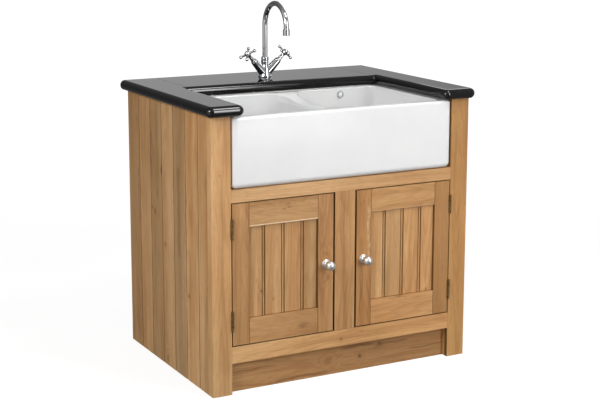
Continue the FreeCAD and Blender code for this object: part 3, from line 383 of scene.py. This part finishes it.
def fireclay():
    m = Mat("white_glaze")
    v = m.coords()
    pool = m.noise(v, 9.0, 3.0, 0.55)
    pin = m.span(m.voronoi(v, 420.0), 0.0, 0.09, 1.0, 0.0)
    some = m.span(m.noise(v, 55.0, 1.0), 0.60, 0.66)
    col = m.ramp(pool, [(0.30, (0.815, 0.818, 0.816)), (0.55, (0.835, 0.837, 0.834)), (0.80, (0.850, 0.850, 0.846))])
    x, y, z = m.sep(v)
    # painted shade inside the bowls: the glaze there is made less white, fading out on the end walls
    bowl_shade = m.mul(m.span(m.math("ABSOLUTE", x), 0.362, 0.370, 1.0, 0.0), m.mul(m.span(y, -0.314, -0.304), m.span(y, 0.100, 0.108, 1.0, 0.0)))
    bowl_shade = m.mul(bowl_shade, m.span(m.math("ABSOLUTE", x), 0.318, 0.358, 1.0, 0.0))
    # on the divider's crest the painted shade is mostly lifted
    crest = m.mul(m.mul(m.span(m.math("ABSOLUTE", x), 0.024, 0.050, 1.0, 0.0), m.span(z, 0.835, 0.852)),
                  m.mul(m.span(y, -0.295, -0.240), m.span(y, 0.070, 0.104, 1.0, 0.0)))
    bowl_shade = m.mul(bowl_shade, m.sub(1.0, m.mul(crest, 0.8)))
    col = m.mix(bowl_shade, col, (0.70, 0.705, 0.70))
    col = m.mix(m.mul(m.mul(pin, some), 0.35), col, (0.62, 0.61, 0.58))
    # painted shade in the narrow gaps between the sink and the posts: the glaze there is made nearly black
    gap = m.mul(m.span(m.math("ABSOLUTE", x), 0.3930, 0.3952), m.mul(m.span(y, -0.3275, -0.3235), m.span(z, 0.8690, 0.8720, 1.0, 0.0)))
    col = m.mix(m.mul(gap, 0.9), col, (0.035, 0.026, 0.018))
    m.set("Base Color", col)
    m.set("Roughness", m.add(m.add(m.mul(pool, 0.06), 0.06), m.mul(crest, 0.30)))   # the divider's crest is scoured dull
    m.set("IOR", 1.52)
    m.set("Coat Weight", m.mul(m.sub(1.0, crest), 0.35))
    m.set("Coat Roughness", 0.04)
    wave = m.add(m.noise(v, 16.0, 2.0, 0.5), m.mul(m.noise(v, 120.0, 2.0, 0.5), 0.10))
    m.bump(m.sub(wave, m.mul(m.mul(pin, some), 0.2)), 0.10, 0.002)
    return m


def metal(name, base, rough, spread, dark=None, scale=60.0, brushed=None, bump=0.0):
    m = Mat(name)
    v = m.coords()
    smear = m.noise(v, scale, 4.0, 0.62)
    speck = m.noise(v, scale * 14.0, 2.0, 0.6)
    col = base
    if dark:
        col = m.mix(m.span(smear, 0.40, 0.66), base, dark)
    else:
        col = m.ramp(smear, [(0.3, tuple(q * 0.95 for q in base)), (0.7, base)])
    m.set("Base Color", col)
    m.set("Metallic", 1.0)
    r = m.add(m.mul(smear, spread), rough - spread * 0.5)
    if brushed:
        lines = m.noise(m.vec("MULTIPLY", v, brushed), 1.0, 2.0, 0.6)
        r = m.add(r, m.mul(m.sub(lines, 0.5), 0.16))
        m.bump(lines, 0.06, 0.0002)
    elif bump:
        m.bump(m.add(speck, m.mul(smear, 0.6)), bump, 0.0003)
    m.set("Roughness", r)
    return m


def plain(name, base, rough, grain_scale=900.0, bump=0.08, vary=0.06, spec=0.5):
    m = Mat(name)
    v = m.coords()
    tex = m.noise(v, grain_scale, 2.0, 0.6)
    cloud = m.noise(v, 22.0, 3.0, 0.55)
    col = m.ramp(cloud, [(0.3, tuple(q * (1.0 - vary) for q in base)), (0.7, tuple(min(1.0, q * (1.0 + vary)) for q in base))])
    m.set("Base Color", col)
    m.set("Roughness", m.add(m.mul(tex, 0.12), rough - 0.06))
    m.set("Specular IOR Level", spec)
    m.bump(tex, bump, 0.0003)
    return m


wear("sink", fireclay())
chrome = metal("bright_chrome", (0.62, 0.625, 0.64), 0.06, 0.04, scale=45.0)
for n in ("tap_body", "swan_neck_spout", "aerator", "spout_collar", "left_bonnet", "right_bonnet", "left_handle", "right_handle"):
    wear(n, chrome)
nickel = metal("satin_nickel", (0.80, 0.79, 0.775), 0.37, 0.08, scale=70.0, bump=0.03)
for n in ("left_door_knob", "right_door_knob"):
    wear(n, nickel)
aged = metal("antique_brass", (0.27, 0.165, 0.065), 0.52, 0.16, dark=(0.110, 0.066, 0.027), scale=120.0, bump=0.15)
for n in ("hinge_frame_leaves", "hinge_pins", "left_hinge_leaves", "right_hinge_leaves"):
    wear(n, aged)
brass = metal("machined_brass", (0.72, 0.53, 0.25), 0.24, 0.10, dark=(0.55, 0.36, 0.15), scale=90.0, brushed=(30.0, 30.0, 900.0))
for n in ("left_spindle", "right_spindle", "tap_shank", "tap_backnut"):
    wear(n, brass)
steel = metal("stainless_steel", (0.62, 0.62, 0.61), 0.22, 0.08, scale=50.0, brushed=(700.0, 700.0, 700.0))
for n in ("waste_flanges", "left_basket", "right_basket"):
    wear(n, steel)
zinc = metal("zinc_plate", (0.50, 0.49, 0.46), 0.34, 0.16, dark=(0.34, 0.34, 0.35), scale=240.0, bump=0.08)
for n in ("hinge_and_catch_screws", "left_door_screws", "right_door_screws", "left_door_strike", "right_door_strike"):
    wear(n, zinc)


def cover():
    """White overflow cover, with painted shade in its slots and at the foot of its bead."""
    m = Mat("white_cover")
    v = m.coords()
    x, y, z = m.sep(v)
    dx, dz = m.sub(x, 0.2236), m.sub(z, 0.8493)
    r = m.math("SQRT", m.add(m.mul(dx, dx), m.mul(dz, dz)))
    cloud = m.noise(v, 240.0, 3.0, 0.6)
    col = m.ramp(cloud, [(0.3, (0.70, 0.70, 0.69)), (0.7, (0.80, 0.80, 0.79))])
    # painted shade: a dark ring in the slots and another at the foot of the bead
    slot = m.mul(m.span(r, 0.0076, 0.0084), m.span(r, 0.0104, 0.0112, 1.0, 0.0))
    foot = m.span(r, 0.0122, 0.0129)
    grey = m.math("MAXIMUM", m.mul(slot, 0.85), m.mul(foot, 0.75))
    col = m.mix(grey, col, (0.10, 0.10, 0.10))
    m.set("Base Color", col)
    m.set("Roughness", m.add(m.mul(cloud, 0.12), 0.18))
    m.bump(cloud, 0.02, 0.0002)
    return m


wear("overflow_ring", cover())
pvc = plain("white_moulded_plastic", (0.80, 0.80, 0.785), 0.34)
for n in ("waste_pipe", "waste_nuts", "trap_body", "trap_cup", "outlet_pipe"):
    wear(n, pvc)
wear("door_catches", plain("brown_moulded_plastic", (0.145, 0.085, 0.048), 0.42))
wear("rubber_seals", plain("black_rubber", (0.022, 0.022, 0.022), 0.70, 500.0, 0.15, 0.15, 0.3))
wear("sink_sealant", plain("clear_sealant", (0.78, 0.78, 0.75), 0.30, 160.0, 0.10, 0.04))

# ---------------------------------------------------------------------------
# Floor: seen by the camera only, so that it neither lights the wood from below nor shows in the gloss
# ---------------------------------------------------------------------------
mesh = bpy.data.meshes.new("floor")
mesh.from_pydata([(-60, -60, -0.0006), (60, -60, -0.0006), (60, 60, -0.0006), (-60, 60, -0.0006)], [], [(0, 1, 2, 3)])
floor = bpy.data.objects.new("floor", mesh)
scene.collection.objects.link(floor)
m = Mat("pale_floor")
v = m.coords()
m.set("Base Color", m.ramp(m.noise(v, 3.0, 2.0), [(0.3, (0.19, 0.19, 0.19)), (0.7, (0.21, 0.21, 0.21))]))
m.set("Roughness", 0.9)
m.set("Specular IOR Level", 0.0)
m.set("Emission Color", (1.0, 1.0, 1.0, 1.0))
m.set("Emission Strength", m.span(m.vec("LENGTH", v, (0.0, 0.0, 0.0)), 1.5, 6.0, 0.87, 1.0))
mesh.materials.append(m.mat)
floor.visible_diffuse = floor.visible_glossy = floor.visible_transmission = floor.visible_shadow = False

# ---------------------------------------------------------------------------
# Light: a dim soft surround, brighter behind and to the left, and one softbox in front on the right
# ---------------------------------------------------------------------------
world = bpy.data.worlds.new("studio")
scene.world = world
world.use_nodes = True
nt = world.node_tree
nt.nodes.clear()


def wnode(kind, **sockets):
    n = nt.nodes.new(kind)
    for key, q in sockets.items():
        i = int(key[1:])
        if isinstance(q, bpy.types.NodeSocket):
            nt.links.new(q, n.inputs[i])
        else:
            n.inputs[i].default_value = q
    return n


def wmath(op, a, b):
    n = wnode("ShaderNodeMath", i0=a, i1=b)
    n.operation = op
    return n.outputs[0]


def wspan(q, a, b, c, d):
    n = wnode("ShaderNodeMapRange", i0=q, i1=a, i2=b, i3=c, i4=d)
    n.interpolation_type = "SMOOTHSTEP"
    return n.outputs[0]


gaze = wnode("ShaderNodeTexCoord").outputs["Generated"]
height = wnode("ShaderNodeSeparateXYZ", i0=gaze).outputs["Z"]


def lobe(to, wide, narrow, amount):
    """A soft patch of light (or, with less than nothing, of dark) around one direction, out to wide degrees and full
    inside narrow degrees."""
    n = wnode("ShaderNodeVectorMath", i0=gaze, i1=tuple(Vector(to).normalized()))
    n.operation = "DOT_PRODUCT"
    return wspan(n.outputs["Value"], math.cos(math.radians(wide)), math.cos(math.radians(narrow)), 0.0, amount)


level = wspan(height, -0.6, 0.9, 0.20, 0.33)
low = wmath("MULTIPLY", lobe((0.22, 0.97, 0.15), 30.0, 6.0, 0.42), wspan(height, 0.17, 0.27, 1.0, 0.0))
level = wmath("ADD", level, low)
for to, wide, narrow, amount in (((-0.15, 0.85, 0.50), 70.0, 25.0, -0.15), ((0.86, 0.50, 0.12), 22.0, 8.0, 0.32),
                                 ((-0.90, -0.42, 0.10), 62.0, 20.0, 0.52), ((0.97, -0.25, -0.10), 60.0, 20.0, 0.16),
                                 ((-0.45, -0.88, 0.05), 38.0, 8.0, -0.30)):
    level = wmath("ADD", level, lobe(to, wide, narrow, amount))
lit = wnode("ShaderNodeBackground", i0=(1.0, 1.0, 1.0, 1.0), i1=level)
white = wnode("ShaderNodeBackground", i0=(1.0, 1.0, 1.0, 1.0), i1=1.0)
seen = wnode("ShaderNodeLightPath").outputs["Is Camera Ray"]
both = wnode("ShaderNodeMixShader", i0=seen, i1=lit.outputs[0], i2=white.outputs[0])
wnode("ShaderNodeOutputWorld", i0=both.outputs[0])


def area(name, at, aim, sx, sy, radiance):
    """A rectangular softbox; its power follows from the brightness of its face."""
    light = bpy.data.lights.new(name, "AREA")
    light.shape = "RECTANGLE"
    light.size, light.size_y = sx, sy
    light.energy = math.pi * sx * sy * radiance
    o = bpy.data.objects.new(name, light)
    scene.collection.objects.link(o)
    o.location = at
    o.rotation_euler = (Vector(aim) - Vector(at)).to_track_quat("-Z", "Y").to_euler()
    return o


# the front softbox fades out towards the right
for i, (right, high, tall, radiance) in enumerate(((1.34, 1.85, 0.8, 2.8), (1.40, 1.80, 1.2, 2.6), (1.48, 1.75, 1.7, 2.4),
                                                   (1.58, 1.70, 2.2, 2.1), (1.70, 1.65, 2.7, 1.6), (1.88, 1.62, 3.1, 1.2))):
    left = 0.74
    area("softbox_%d" % (i + 1), ((left + right) / 2, -3.3, high), ((left + right) / 2 - 0.35, -0.2, high - 0.8), right - left, tall, radiance)
area("softbox_left", (-2.9, -1.5, 2.32), (0.0, -0.2, 0.8), 0.9, 0.9, 20.0)
area("softbox_top", (0.75, -1.45, 3.35), (0.0, -0.15, 0.8), 0.9, 0.9, 12.0)
area("softbox_back", (3.0, 2.5, 2.8), (0.0, 0.0, 0.6), 2.2, 2.2, 1.6)

# ---------------------------------------------------------------------------
# Camera at the photograph's angle; the image is 600 x 400
# ---------------------------------------------------------------------------
yaw, pitch, roll = math.radians(28.146), math.radians(10.663), math.radians(0.123)
d = Vector((math.sin(yaw) * math.cos(pitch), math.cos(yaw) * math.cos(pitch), -math.sin(pitch)))
r = Vector((math.cos(yaw), -math.sin(yaw), 0.0))
u = r.cross(d)
r, u = math.cos(roll) * r + math.sin(roll) * u, -math.sin(roll) * r + math.cos(roll) * u
cam = bpy.data.cameras.new("camera")
cam.sensor_fit = "HORIZONTAL"
cam.sensor_width = 36.0
cam.lens = 1398.68 / 600.0 * 36.0
cam.shift_y = -40.0 / 600.0
cam.clip_start, cam.clip_end = 0.05, 300.0
eye = bpy.data.objects.new("camera", cam)
scene.collection.objects.link(eye)
rot = Matrix((r, u, -d)).transposed().to_4x4()
eye.matrix_world = Matrix.Translation(Vector((-2.1683, -4.0755, 1.5235))) @ rot
scene.camera = eye
scene.view_settings.view_transform = "Standard"
scene.view_settings.look = "None"
